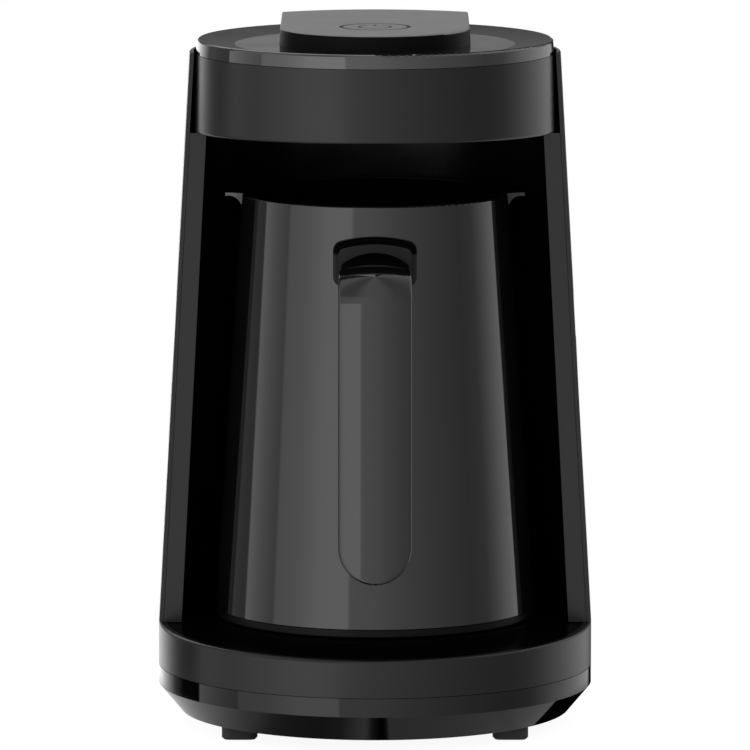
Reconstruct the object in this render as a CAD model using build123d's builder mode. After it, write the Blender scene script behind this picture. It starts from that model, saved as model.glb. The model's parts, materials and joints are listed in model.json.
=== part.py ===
from build123d import *
import os
from math import cos, radians, sin, sqrt, tan

# Electric turkish coffee maker, millimetres.
# Origin: centre of the round base on the surface it stands on. +Z up, -Y towards the user, who
# sees the pot's handle. The body is a slim truncated cone with a niche that is open to the front.

# ---------------------------------------------------------------- driving sizes
seam = 0.2                  # visible parting line between two fixed covers
fit_gap = 0.3               # running clearance between pieces that move past each other
snug_gap = 0.1              # clearance round screws, inlays and lips
spare = 10.0                # extra length of a blank that a later cut takes away

# Base
base_r = 80.0
base_wall = 2.6
foot_height = 5.0
foot_width = 13.0
foot_corner_r = 3.0
foot_chamfer = 0.8
foot_inset = 9.4            # from the edge of the pan's flat bottom
foot_angle = 37.5
foot_peg_r = 2.5
foot_head_r = 3.6
foot_head_height = 1.2
pan_chamfer = 8.2           # the pan's flat bottom ends this far inside the base's edge
pan_height = 9.75
pan_wall = 2.5
pan_lip_height = 4.5        # upstand of the pan inside the trim ring
pan_lip_wall = 2.0
trim_height = 7.0
housing_height = 16.05      # on the centre plane
housing_edge_fillet = 1.1
vent_length = 30.0
vent_width = 2.6
vent_pitch = 6.5
vent_count = 7

# Power board in the base
power_board_x = 86.0
power_board_y = 62.0
board_thickness = 1.6
board_inset = 5.0           # distance of the posts from a board's edges
board_post_r = 3.5
board_post_height = 3.5
power_blocks = [            # x range, y range, height
    ((-30, -12), (-20, 0), 15.0),
    ((-6, 10), (-24, -8), 12.0),
    ((16, 28), (-22, 14), 8.0),
    ((-32, -20), (8, 20), 10.0),
]
power_can_r = 5.0
power_can_height = 16.0
power_can_points = [(-6, 12), (7, 12)]

# Cord outlet at the back of the base
gland_rise = 6.0            # above the seam of trim ring and base housing
gland_hole_r = 3.5
gland_body_r = 5.0
gland_flange_r = 7.0
gland_flange_thickness = 2.5
gland_nose_wall = 1.2
gland_collar = 1.0
gland_reach = 5.0

# Tray: the top of the base leans a little down to the front
tray_tilt = 1.7
tray_drop = 0.3             # plate surface below the rim
tray_thickness = 2.5
ledge_width = 16.0          # the ledge that carries the tray plate, from the base's edge inwards
ledge_thickness = 2.5
seat_margin = 2.0           # level pot seat, wider than the pot and raised from the tray plate
seat_step = 0.34            # the seat's lowest step, at the back
seat_fillet = 0.25

# Fasteners
screw_r = 1.5
screw_head_r = 3.0
screw_head_height = 1.6
screw_slot_length = 3.6
screw_slot_width = 0.7
screw_slot_depth = 0.8
boss_r = 4.0
base_screw_inset = 14.0     # from the base's edge
base_screw_angle = 15.0
base_screw_end = 6.0        # the screws end this far below the ledge

# Column
shell_taper = 11.9          # the shell is this much narrower at its top
shell_rise = 0.8            # the shell stands above the head's seam
shell_wall = 1.5
shell_fillet = 0.7
shell_front_y = 7.5         # the side covers reach this far in front of the centre plane
shell_fit = 0.15            # gap between the niche wall's rim and the shell
shell_screw_inset = 26.0    # screw heights, from the tray and from the head
shell_pad_r = 5.0
shell_pad_depth = 4.0       # the shell is thicker round each screw, with a well for its head
shell_well_depth = 2.2
shell_screw_grip = 6.0
side_wall_low = 8.6         # shell, rim and lining together at tray height
side_wall_high = 6.3        # and at the top
niche_shift = 6.5           # the niche's axis lies in front of the body's, for a thicker rear wall
niche_wall_thickness = 2.2
niche_rim_depth = 8.0       # depth of the solid front rims
pot_to_back = 5.9           # room between the pot and the back wall at tray height

# Wire harness in the column, between the boards' headers
cable_r = 1.75
cable_play = 0.6
cable_x = 19.0
cable_bend = 9.0
cable_gap = 0.5             # from the niche wall
header_half_width = 4.0
header_depth = 8.0
header_cover = 3.0          # above and below the harness
power_header_y = 30.0       # back face of each header
control_header_y = 16.0
cable_below_board = 6.4     # harness axis under the control board

# Head
headroom = 22.55            # from the pot's rim to the head
drum_height = 29.0
drum_gap = 0.9              # between drum and shell at the top
drum_taper = 0.7
drum_wall = 2.5
drum_ledge = 1.6            # ledge inside the drum that the underside plate is pressed against
drum_ledge_height = 2.0
drum_tilt = 1.9             # the bottom edge rises to the front
drum_edge_fillet = 1.0
lid_height = 5.3
lid_inset = 0.4
lid_wall = 2.5
lid_edge_fillet = 0.9
lid_lip_height = 5.0
lid_lip_wall = 2.0
underside_inset = 0.5
underside_thickness = 2.0
disc_margin = 14.0          # the inlay is this much smaller than the lid
disc_y = -21.0              # centre of the inlay, the button and the plate's round end
disc_thickness = 1.0

# Foam sensor behind a dark window in the head's underside
sensor_hole_r = 5.2
window_recess = 0.3
window_flange = 1.5
window_flange_thickness = 1.0
sensor_x = 22.0
sensor_y = 16.0
sensor_height = 7.0
sensor_wing_x = 34.0
sensor_wing_y = 9.0
sensor_wing_rise = 2.0
sensor_wing_thickness = 1.6

# Control plate and button
plate_half_width = 34.5
plate_height = 6.1
plate_back_inset = 16.3     # from the lid's edge
plate_back_r = 63.0
plate_wall = 2.0
plate_draft = 3.0
plate_edge_fillet = 0.8
button_r = 13.0
button_travel = 1.0
button_gap = 0.25
button_thickness = 2.0
button_edge_fillet = 0.3
stem_r = 3.5
stem_hole_r = 5.5
stem_gap = 0.5              # from the pressed button's stem to the switch
pad_low_r = 10.0
pad_high_r = 7.0
pad_wall = 0.9
plunger_r = 1.8
plunger_seat = 0.7          # guided length of the plunger in the switch
switch_size = 12.0
switch_height = 4.0

# Control board under the lid
control_board_x = 46.0
control_board_y = 76.0
control_board_centre_y = -10.0
control_board_drop = 6.8    # board surface below the lid's top
control_post_r = 3.5
board_screw_end = 3.0
control_blocks_above = [    # x range, y range, height
    ((-18, -8), (4, 14), 3.0),
    ((4, 20), (6, 12), 3.5),
]
control_blocks_below = [((-10, 4), (16, 24), 5.0)]
control_can_height = 8.0
control_cans = [(6.0, -12, -6), (4.0, 12, -10), (4.0, 12, -24)]    # radius, x, y

# Pot
pot_taper = 10.2
pot_height = 153.5          # metal wall without the dark ring
pot_wall = 1.2
heater_room = 23.7          # from the wall's lower edge up to the floor of the bowl
pot_floor_fillet = 6.0
pot_edge_fillet = 0.4
pot_rim_fillet = 0.45
beak_overhang = 6.2         # tips of the two pouring beaks beyond the rim
beak_tip_depth = 1.3        # the lip's thickness at its tip
beak_depth = 4.0            # where its hollow underside meets the wall
beak_half_width = 9.0       # where it leaves the rim
beak_tip_half_width = 1.4
beak_side_hollow = 1.6      # its two sides curve inwards
beak_root_depth = 5.0       # the beak starts inside the wall
beak_wall = 0.7
pot_ring_height = 3.0
pot_ring_inset = 0.5
pot_ring_chamfer = 0.6
pot_ring_wall = 8.0
pot_ring_lap = 2.0          # the ring reaches up inside the wall
pot_ring_flange = 5.0       # and inwards over the bottom cover
pot_ring_flange_height = 1.5
pot_ring_flange_lap = 1.0
pot_cover_thickness = 1.8
pot_screw_inset = 3.0
pot_screw_angle = 30.0
heater_margin = 10.0
heater_thickness = 4.0
element_ring_r = 34.0
element_r = 3.0
cutout_r = 9.0
cutout_height = 7.0

# Rear connector between pot and column
socket_width = 23.0
socket_rise = 2.2
socket_height = 9.5
socket_depth = 14.7
socket_overhang = 4.7       # beyond the pot's wall
prong_width = 1.6
prong_height = 5.0
prong_pitch = 7.0
prong_reach = 7.7           # into the socket
prong_tail = 9.0            # behind the niche's back wall
prong_fillet = 0.5
contact_length = 4.0
contact_gap = 0.5
plug_play = 0.6             # round the plug in the niche's back wall
plug_tail = 5.0
plug_flange = 4.0
plug_flange_height = 2.5
plug_flange_thickness = 2.0

# Handle
grip_half_width = 13.25
grip_thickness = 12.5
finger_room = 13.5          # between the pot's foot and the grip
grip_side_depth = 3.0       # the convex front falls back this much at the sides
grip_rise = 20.75           # grip's lower end above the pot's lower edge
grip_drop = 17.95           # grip's top below the pot's rim
grip_arch = 1.5             # the grip's top is lower at its sides
shoulder_r = 14.0           # the front rolls back into the top
grip_edge_fillet = 1.5
grip_back_r = 1.2
arm_height = 9.0
arm_rise = 3.8              # the arm's top is this much higher at the pot than at the grip
arm_root_arch = 5.9         # and lower at its sides
finger_corner_r = 5.0       # between the arm's underside and the grip
cover_thickness = 1.2       # cap on the arm's top
collar_side = 1.95          # the collar is wider than the grip
collar_rise = 7.5
collar_height = 18.0
collar_arch = 2.6
collar_depth = 2.4          # in front of the pot's wall
collar_corner_r = 3.5
collar_edge_fillet = 1.4
sleeve_reach = 6.0          # the sleeve round the arm, in front of the collar
sleeve_drop = 1.8           # its top below the collar's
sleeve_arch = 2.0
sleeve_corner_r = 2.5
sleeve_floor = 1.2          # below the arm
bracket_width = 14.0
bracket_thickness = 2.5
bracket_pad = 1.5
bracket_drop = 1.0          # the strap lies below the middle of the arm
bracket_cover = 8.0         # from the grip's front to the strap's end
bracket_play = 0.15
weld_gap = 0.02             # between the pad and the pot's wall
pad_below = 5.0             # the welded pad reaches below and above the strap
pad_above = 7.0
handle_screw_inset = 5.0    # in front of the grip's back
handle_screw_recess = 2.0
handle_screw_end = 2.5

# ---------------------------------------------------------------- derived sizes
base_inner_r = base_r - base_wall
pan_edge_r = base_r - pan_chamfer
pan_floor_z = foot_height + pan_wall
pan_top_z = foot_height + pan_height
housing_z = pan_top_z + trim_height
tray_z = housing_z + housing_height

shell_top_r = base_r - shell_taper
niche_low_r = base_r - side_wall_low
niche_high_r = shell_top_r - side_wall_high
niche_back_y = niche_low_r - niche_shift
pot_low_r = niche_back_y - pot_to_back
pot_high_r = pot_low_r - pot_taper
drum_high_r = shell_top_r - shell_wall - drum_gap
drum_low_r = drum_high_r + drum_taper
lid_top_r = drum_high_r - lid_inset
disc_r = lid_top_r - disc_margin
plate_back_y = lid_top_r - plate_back_inset

seat_r = pot_low_r + seat_margin
seat_z = tray_z - tray_drop + seat_r * tan(radians(tray_tilt)) + seat_step
pot_low_z = seat_z + fit_gap + pot_ring_height
pot_rim_z = pot_low_z + pot_height
pot_floor_z = pot_low_z + heater_room
drum_z = pot_rim_z + headroom
lid_z = drum_z + drum_height
shell_top_z = lid_z + shell_rise
lid_top_z = lid_z + lid_height
plate_top_z = lid_top_z + plate_height
gland_z = housing_z + gland_rise
grip_back_y = pot_low_r + finger_room
grip_front_y = grip_back_y + grip_thickness
grip_low_z = pot_low_z + grip_rise
grip_top_z = pot_rim_z - grip_drop
arm_half_width = grip_half_width - grip_back_r

tray_plane = Plane(
    origin=(0, 0, tray_z), x_dir=(1, 0, 0), z_dir=(0, -sin(radians(tray_tilt)), cos(radians(tray_tilt)))
)
drum_plane = Plane(
    origin=(0, 0, drum_z), x_dir=(1, 0, 0), z_dir=(0, sin(radians(drum_tilt)), cos(radians(drum_tilt)))
)
bottom_align = (Align.CENTER, Align.CENTER, Align.MIN)


def between(z, low_z, low_value, high_z, high_value):
    """Value at height z on the straight line through two heights."""
    return low_value + (high_value - low_value) * (z - low_z) / (high_z - low_z)


def shell_radius(z):
    return between(z, tray_z, base_r, shell_top_z, shell_top_r)


def niche_radius(z):
    return between(z, tray_z, niche_low_r, drum_z, niche_high_r)


def pot_radius(z):
    return between(z, pot_low_z, pot_low_r, pot_rim_z, pot_high_r)


def drum_radius(z):
    return between(z, drum_z, drum_low_r, lid_z, drum_high_r)


def back_wall_y(z):
    """Front surface of the niche's back wall on the centre line."""
    return niche_radius(z) - niche_shift


def frustum(radius_at, low_z, high_z, grow=0.0, axis_y=0.0, mode=Mode.ADD):
    """Round solid between two heights whose radius follows radius_at(z)."""
    with Locations((0, axis_y, low_z)):
        Cone(
            radius_at(low_z) + grow,
            radius_at(high_z) + grow,
            high_z - low_z,
            align=bottom_align,
            mode=mode,
        )


def upright(radius, low_z, high_z, points, mode=Mode.ADD):
    """Vertical cylinders between two heights at the given x, y points."""
    with Locations(*[(x, y, low_z) for x, y in points]):
        Cylinder(radius, high_z - low_z, align=bottom_align, mode=mode)


def block(x_range, y_range, z_range, mode=Mode.ADD):
    """Box given by its three ranges."""
    low = (x_range[0], y_range[0], z_range[0])
    high = (x_range[1], y_range[1], z_range[1])
    with Locations(low):
        Box(*[b - a for a, b in zip(low, high)], align=(Align.MIN, Align.MIN, Align.MIN), mode=mode)


def mirrored_points(x, y):
    return [(x, y), (-x, y), (-x, -y), (x, -y)]


def polar_points(radius, angles):
    return [(radius * cos(radians(angle)), radius * sin(radians(angle))) for angle in angles]


def cable_y(z):
    """The harness runs up behind the niche's round back wall."""
    wall_y = sqrt((niche_radius(z) + niche_wall_thickness) ** 2 - cable_x**2) - niche_shift
    return wall_y + cable_gap + cable_r


def cable_hole(low_z, high_z, y):
    upright(cable_r + cable_play, low_z, high_z, [(cable_x, y)], mode=Mode.SUBTRACT)


def cross_slot():
    """Cross recess in a screw head, cut about the current location."""
    Box(screw_slot_width, screw_slot_length, screw_slot_depth * 2, mode=Mode.SUBTRACT)
    Box(screw_slot_length, screw_slot_width, screw_slot_depth * 2, mode=Mode.SUBTRACT)


def header(face_y, z_range):
    """Plug-in header whose back face takes the end of the harness."""
    x_range = (cable_x - header_half_width, cable_x + header_half_width)
    block(x_range, (face_y - header_depth, face_y), z_range)


# ---------------------------------------------------------------- base
lip_r = base_inner_r - seam / 2
foot_points = mirrored_points(*polar_points(pan_edge_r - foot_inset, [foot_angle])[0])
base_screw_points = mirrored_points(*polar_points(base_r - base_screw_inset, [base_screw_angle])[0])
power_post_points = mirrored_points(power_board_x / 2 - board_inset, power_board_y / 2 - board_inset)
power_board_z = pan_floor_z + board_post_height

with BuildPart() as base_pan:
    with BuildSketch(Plane.XZ):
        with BuildLine():
            Polyline(
                (0, foot_height),
                (pan_edge_r, foot_height),
                (base_r, pan_top_z),
                (lip_r, pan_top_z),
                (lip_r, pan_top_z + pan_lip_height),
                (lip_r - pan_lip_wall, pan_top_z + pan_lip_height),
                (lip_r - pan_lip_wall, pan_top_z - pan_wall / 2),
                (pan_edge_r - pan_wall / 2, pan_floor_z),
                (0, pan_floor_z),
                close=True,
            )
        make_face()
    revolve(axis=Axis.Z)
    upright(board_post_r, foot_height, power_board_z, power_post_points)
    upright(foot_peg_r, foot_height, pan_floor_z, foot_points, mode=Mode.SUBTRACT)
    upright(screw_r + snug_gap, foot_height, pan_floor_z, base_screw_points, mode=Mode.SUBTRACT)
    upright(screw_head_r + snug_gap, foot_height, foot_height + screw_head_height, base_screw_points,
            mode=Mode.SUBTRACT)
    with BuildSketch(Plane.XY.offset(foot_height)):
        with GridLocations(0, vent_pitch, 1, vent_count):
            SlotOverall(vent_length, vent_width)
    extrude(amount=pan_wall, mode=Mode.SUBTRACT)

with BuildPart() as base_trim_ring:
    with BuildSketch(Plane.XY.offset(pan_top_z)):
        Circle(base_r)
        Circle(base_inner_r, mode=Mode.SUBTRACT)
    extrude(amount=housing_z - seam - pan_top_z)

with BuildPart() as rubber_feet:
    with BuildSketch():
        with Locations(*foot_points):
            RectangleRounded(foot_width, foot_width, foot_corner_r)
    extrude(amount=foot_height)
    chamfer(rubber_feet.edges().group_by(Axis.Z)[0], length=foot_chamfer)
    upright(foot_peg_r, foot_height, pan_floor_z, foot_points)
    upright(foot_head_r, pan_floor_z, pan_floor_z + foot_head_height, foot_points)

ledge_top = tray_plane.offset(-tray_drop - tray_thickness)
ledge_z = tray_z - tray_drop - tray_thickness
boss_top_z = ledge_z - ledge_thickness / 2
cable_exit_y = cable_y(tray_z)
with BuildPart() as base_housing:
    with BuildSketch(Plane.XY.offset(housing_z)):
        Circle(base_r)
        Circle(base_inner_r, mode=Mode.SUBTRACT)
    extrude(amount=tray_z)
    split(bisect_by=tray_plane, keep=Keep.BOTTOM)
    fillet(base_housing.edges().sort_by_distance((0, -base_r, tray_z))[0], radius=housing_edge_fillet)
    with BuildSketch(ledge_top):
        Circle(base_r - base_wall / 2)
        Circle(base_r - ledge_width, mode=Mode.SUBTRACT)
    extrude(amount=-ledge_thickness)
    upright(boss_r, pan_floor_z + seam, boss_top_z, base_screw_points)
    upright(screw_r, pan_floor_z, boss_top_z - base_screw_end + fit_gap, base_screw_points,
            mode=Mode.SUBTRACT)
    cable_hole(housing_z, tray_z, cable_exit_y)
    with Locations(Location((0, base_r + base_wall, gland_z), (90, 0, 0))):
        Cylinder(gland_body_r, base_wall * 4, align=bottom_align, mode=Mode.SUBTRACT)

with BuildPart() as base_screws:
    head_z = foot_height + snug_gap
    upright(screw_head_r, head_z, foot_height + screw_head_height, base_screw_points)
    upright(screw_r, foot_height + screw_head_height, boss_top_z - base_screw_end, base_screw_points)
    with Locations(*[(x, y, head_z) for x, y in base_screw_points]):
        cross_slot()

# ---------------------------------------------------------------- tray
with BuildPart() as tray_plate:
    with BuildSketch(ledge_top):
        Circle(base_inner_r - seam)
    extrude(amount=tray_thickness)
    with BuildSketch(Plane.XY.offset(ledge_z)):
        Circle(seat_r)
    extrude(amount=seat_z - ledge_z)
    fillet(tray_plate.edges().filter_by(GeomType.CIRCLE).sort_by(Axis.Z)[-1], radius=seat_fillet)
    cable_hole(housing_z, tray_z + spare, cable_exit_y)

# ---------------------------------------------------------------- base electronics
power_part_z = power_board_z + board_thickness
cable_low_z = power_part_z + power_can_height - header_cover
with BuildPart() as power_board:
    with Locations((0, 0, power_board_z)):
        Box(power_board_x, power_board_y, board_thickness, align=bottom_align)
    upright(screw_r, 0, tray_z, power_post_points, mode=Mode.SUBTRACT)

with BuildPart() as power_parts:
    for x_range, y_range, height in power_blocks:
        block(x_range, y_range, (power_part_z, power_part_z + height))
    upright(power_can_r, power_part_z, power_part_z + power_can_height, power_can_points)
    header(power_header_y, (power_part_z, cable_low_z + header_cover))

gland_inner_y = sqrt(base_inner_r**2 - gland_flange_r**2) - snug_gap
with BuildPart() as cord_gland:
    with BuildSketch(Plane.XY.offset(gland_z)):
        with BuildLine():
            Polyline(
                (gland_hole_r, gland_inner_y - gland_flange_thickness),
                (gland_flange_r, gland_inner_y - gland_flange_thickness),
                (gland_flange_r, gland_inner_y),
                (gland_body_r, gland_inner_y),
                (gland_body_r, base_r + gland_collar),
                (gland_hole_r + gland_nose_wall, base_r + gland_reach),
                (gland_hole_r, base_r + gland_reach),
                close=True,
            )
        make_face()
    revolve(axis=Axis((0, 0, gland_z), (0, 1, 0)))

# ---------------------------------------------------------------- column
shell_screw_zs = (tray_z + shell_screw_inset, drum_z - shell_screw_inset)
with BuildPart() as rear_shell:
    frustum(shell_radius, tray_z - spare, shell_top_z)
    fillet(rear_shell.edges().group_by(Axis.Z)[-1], radius=shell_fillet)
    frustum(shell_radius, tray_z - spare, shell_top_z, grow=-shell_wall, mode=Mode.SUBTRACT)
    split(bisect_by=Plane.XZ.offset(shell_front_y), keep=Keep.BOTTOM)
    split(bisect_by=tray_plane, keep=Keep.TOP)
    for z in shell_screw_zs:
        with Locations(Location((0, shell_radius(z) - shell_pad_depth, z), (-90, 0, 0))):
            Cylinder(shell_pad_r, shell_pad_depth - shell_wall / 2, align=bottom_align)
            Cylinder(screw_r + snug_gap, shell_pad_depth * 2, align=bottom_align, mode=Mode.SUBTRACT)
        with Locations(Location((0, shell_radius(z) - shell_well_depth, z), (-90, 0, 0))):
            Cylinder(screw_head_r + fit_gap, shell_pad_depth, align=bottom_align, mode=Mode.SUBTRACT)

with BuildPart() as niche_cavity:
    frustum(niche_radius, tray_z - spare, drum_z + spare, axis_y=-niche_shift)

with BuildPart() as niche_outside:
    frustum(niche_radius, tray_z - spare, drum_z + spare, grow=niche_wall_thickness, axis_y=-niche_shift)

socket_low_z = pot_low_z + socket_rise
socket_z_range = (socket_low_z, socket_low_z + socket_height)
plug_flange_x = socket_width / 2 + plug_flange
plug_flange_z_range = (socket_z_range[0] - plug_flange_height, socket_z_range[1] + plug_flange_height)
flange_y = niche_back_y + niche_wall_thickness + seam
with BuildPart() as niche_wall:
    # Screw bosses and front rims fill the room inside the shell, then the thin wall joins them.
    for z in shell_screw_zs:
        with Locations(Location((0, back_wall_y(z), z), (-90, 0, 0))):
            Cylinder(boss_r, base_r, align=bottom_align)
    block((-base_r, base_r), (-shell_front_y, niche_rim_depth - shell_front_y),
          (tray_z - spare, drum_z + spare))
    # Flat seat for the plug's flange
    block((-plug_flange_x, plug_flange_x), (0, flange_y - seam), plug_flange_z_range)
    frustum(shell_radius, tray_z - spare, drum_z + spare, grow=-shell_wall - shell_fit, mode=Mode.INTERSECT)
    add(niche_outside.part)
    add(niche_cavity.part, mode=Mode.SUBTRACT)
    split(bisect_by=Plane.XZ.offset(shell_front_y), keep=Keep.BOTTOM)
    split(bisect_by=tray_plane, keep=Keep.TOP)
    split(bisect_by=drum_plane.offset(-seam), keep=Keep.BOTTOM)
    for z in shell_screw_zs:
        with Locations(Location((0, shell_radius(z) - shell_pad_depth - snug_gap, z), (-90, 0, 0))):
            Cylinder(shell_pad_r + seam, shell_pad_depth * 2, align=bottom_align, mode=Mode.SUBTRACT)
            Cylinder(screw_r, shell_screw_grip * 2, mode=Mode.SUBTRACT)
    block(
        (-socket_width / 2 - plug_play, socket_width / 2 + plug_play),
        (niche_back_y - spare, niche_back_y + niche_wall_thickness * 2),
        (socket_z_range[0] - plug_play, socket_z_range[1] + plug_play),
        mode=Mode.SUBTRACT,
    )

with BuildPart() as shell_screws:
    for z in shell_screw_zs:
        head_y = shell_radius(z) - shell_well_depth + screw_head_height
        with Locations(Location((0, head_y, z), (90, 0, 0))):
            Cylinder(screw_head_r, screw_head_height, align=bottom_align)
            Cylinder(screw_r, shell_well_depth + shell_screw_grip, align=bottom_align)
            cross_slot()

# ---------------------------------------------------------------- rear connector
socket_back_y = pot_low_r + socket_overhang
socket_front_y = socket_back_y - socket_depth
prong_tip_y = socket_back_y - prong_reach
prong_root_y = niche_back_y + prong_tail
prong_xs = (-prong_pitch, 0, prong_pitch)
prong_z_range = (
    socket_low_z + (socket_height - prong_height) / 2,
    socket_low_z + (socket_height + prong_height) / 2,
)
with BuildPart() as plug_prongs:
    for x in prong_xs:
        block((x - prong_width / 2, x + prong_width / 2), (prong_tip_y, prong_root_y), prong_z_range)
    fillet(plug_prongs.edges().filter_by(Axis.Z).group_by(Axis.Y)[0], radius=prong_fillet)

with BuildPart() as plug_block:
    block((-socket_width / 2, socket_width / 2), (socket_back_y + fit_gap, niche_back_y + plug_tail),
          socket_z_range)
    block((-plug_flange_x, plug_flange_x), (flange_y, flange_y + plug_flange_thickness),
          plug_flange_z_range)
    for x in prong_xs:
        block((x - prong_width / 2, x + prong_width / 2), (prong_tip_y, prong_root_y), prong_z_range,
              mode=Mode.SUBTRACT)

# ---------------------------------------------------------------- head
under_low = drum_plane.offset(underside_inset)
under_high = drum_plane.offset(underside_inset + underside_thickness)
under_r = drum_low_r - drum_wall - seam
with BuildPart() as head_housing:
    frustum(drum_radius, drum_z - spare, lid_z)
    frustum(drum_radius, drum_z - spare, lid_z, grow=-drum_wall, mode=Mode.SUBTRACT)
    split(bisect_by=drum_plane, keep=Keep.TOP)
    fillet(head_housing.edges().sort_by(Axis.Z)[:4].sort_by(SortBy.LENGTH)[-1], radius=drum_edge_fillet)
    with BuildSketch(under_high):
        Circle(drum_low_r - drum_wall / 2)
        Circle(drum_low_r - drum_wall - drum_ledge, mode=Mode.SUBTRACT)
    extrude(amount=drum_ledge_height)
    cable_hole(drum_z - spare, drum_z + spare, cable_y(drum_z))

with BuildPart() as head_underside:
    with BuildSketch(under_low):
        Circle(under_r)
        Circle(sensor_hole_r, mode=Mode.SUBTRACT)
    extrude(amount=underside_thickness)
    cable_hole(drum_z - spare, drum_z + spare, cable_y(drum_z))

with BuildPart() as sensor_window:
    with BuildSketch(under_low.offset(window_recess)):
        Circle(sensor_hole_r - snug_gap)
    extrude(amount=underside_thickness - window_recess)
    with BuildSketch(under_high):
        Circle(sensor_hole_r + window_flange)
    extrude(amount=window_flange_thickness)

sensor_plane = under_high.offset(window_flange_thickness)
with BuildPart() as foam_sensor:
    with BuildSketch(sensor_plane):
        Rectangle(sensor_x, sensor_y)
    extrude(amount=sensor_height)
    with BuildSketch(sensor_plane.offset(sensor_wing_rise)):
        Rectangle(sensor_wing_x, sensor_wing_y)
    extrude(amount=sensor_wing_thickness)


def tongue(plane, grow=0.0):
    """Plan of the control plate: half-round front end, straight sides, gently arched back."""
    half = plate_half_width + grow
    side_y = plate_back_y - plate_back_r + sqrt((plate_back_r + grow) ** 2 - half**2)
    with BuildSketch(plane) as outline:
        with BuildLine():
            Line((-half, side_y), (-half, disc_y))
            ThreePointArc((-half, disc_y), (0, disc_y - half), (half, disc_y))
            Line((half, disc_y), (half, side_y))
            ThreePointArc((half, side_y), (0, plate_back_y + grow), (-half, side_y))
        make_face()
    return outline.sketch


def inlay(plane, gap=0.0):
    """Round inlay that runs out into the drum's front edge."""
    with BuildSketch(plane) as outline:
        with Locations((0, disc_y)):
            Circle(disc_r - gap)
        Circle(lid_top_r - lid_edge_fillet - seam - gap, mode=Mode.INTERSECT)
    return outline.sketch


board_top_z = lid_top_z - control_board_drop
board_low_z = board_top_z - board_thickness
control_post_points = [
    (x, y + control_board_centre_y)
    for x, y in mirrored_points(control_board_x / 2 - board_inset, control_board_y / 2 - board_inset)
]
lip_outer_r = drum_high_r - drum_wall - snug_gap
with BuildPart() as head_lid:
    with Locations((0, 0, lid_z + seam)):
        Cone(drum_high_r, lid_top_r, lid_top_z - lid_z - seam, align=bottom_align)
    fillet(head_lid.edges().group_by(Axis.Z)[-1], radius=lid_edge_fillet)
    with Locations((0, 0, lid_z + seam)):
        Cylinder(drum_high_r - drum_wall, lid_top_z - lid_wall - lid_z - seam, align=bottom_align,
                 mode=Mode.SUBTRACT)
    with BuildSketch(Plane.XY.offset(lid_z - lid_lip_height)):
        Circle(lip_outer_r)
        Circle(lip_outer_r - lid_lip_wall, mode=Mode.SUBTRACT)
    extrude(amount=lid_top_z - lid_wall - lid_z + lid_lip_height)
    upright(control_post_r, board_top_z, lid_top_z - lid_wall, control_post_points)
    upright(screw_r, board_top_z, lid_top_z - lid_wall, control_post_points, mode=Mode.SUBTRACT)
    extrude(inlay(Plane.XY.offset(lid_top_z)), amount=-disc_thickness, mode=Mode.SUBTRACT)
    upright(stem_hole_r, board_top_z, lid_top_z, [(0, disc_y)], mode=Mode.SUBTRACT)

with BuildPart() as top_disc:
    extrude(inlay(Plane.XY.offset(lid_top_z), gap=snug_gap), amount=-disc_thickness)
    upright(stem_hole_r, lid_top_z - disc_thickness, lid_top_z, [(0, disc_y)], mode=Mode.SUBTRACT)

with BuildPart() as control_plate:
    extrude(tongue(Plane.XY.offset(plate_top_z)), amount=lid_top_z - plate_top_z, taper=-plate_draft)
    fillet(control_plate.edges().group_by(Axis.Z)[-1], radius=plate_edge_fillet)
    extrude(tongue(Plane.XY.offset(lid_top_z), grow=-plate_wall),
            amount=plate_top_z - plate_wall - lid_top_z, mode=Mode.SUBTRACT)
    upright(button_r, lid_top_z, plate_top_z, [(0, disc_y)], mode=Mode.SUBTRACT)

with BuildPart() as control_board:
    with Locations((0, control_board_centre_y, board_low_z)):
        Box(control_board_x, control_board_y, board_thickness, align=bottom_align)
    upright(screw_r, board_low_z, board_top_z, control_post_points, mode=Mode.SUBTRACT)

with BuildPart() as board_screws:
    upright(screw_r, board_low_z, board_top_z + board_screw_end, control_post_points)
    upright(screw_head_r, board_low_z - screw_head_height, board_low_z, control_post_points)

switch_top_z = board_top_z + switch_height
plunger_low_z = switch_top_z - plunger_seat
with BuildPart() as switch_housing:
    with Locations((0, disc_y, board_top_z)):
        Box(switch_size, switch_size, switch_height, align=bottom_align)
    upright(plunger_r + snug_gap, plunger_low_z - button_travel - fit_gap, switch_top_z, [(0, disc_y)],
            mode=Mode.SUBTRACT)

cable_high_z = board_low_z - cable_below_board
with BuildPart() as board_parts:
    for x_range, y_range, height in control_blocks_above:
        block(x_range, y_range, (board_top_z, board_top_z + height))
    for x_range, y_range, height in control_blocks_below:
        block(x_range, y_range, (board_low_z - height, board_low_z))
    for radius, x, y in control_cans:
        upright(radius, board_low_z - control_can_height, board_low_z, [(x, y)])
    header(control_header_y, (cable_high_z - header_cover, board_low_z))

# ---------------------------------------------------------------- button
cap_low_z = plate_top_z - button_thickness
stem_end_z = switch_top_z + button_travel + stem_gap
with BuildPart() as button_cap:
    upright(button_r - button_gap, cap_low_z, plate_top_z, [(0, disc_y)])
    fillet(button_cap.edges().group_by(Axis.Z)[-1], radius=button_edge_fillet)
    upright(stem_r, stem_end_z, cap_low_z, [(0, disc_y)])

with BuildPart() as switch_plunger:
    upright(plunger_r, plunger_low_z, stem_end_z, [(0, disc_y)])

with BuildPart() as button_pad:
    with Locations((0, disc_y, lid_top_z)):
        Cone(pad_low_r, pad_high_r, cap_low_z - lid_top_z, align=bottom_align)
        Cone(pad_low_r - pad_wall, pad_high_r - pad_wall, cap_low_z - lid_top_z, align=bottom_align,
             mode=Mode.SUBTRACT)

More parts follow.
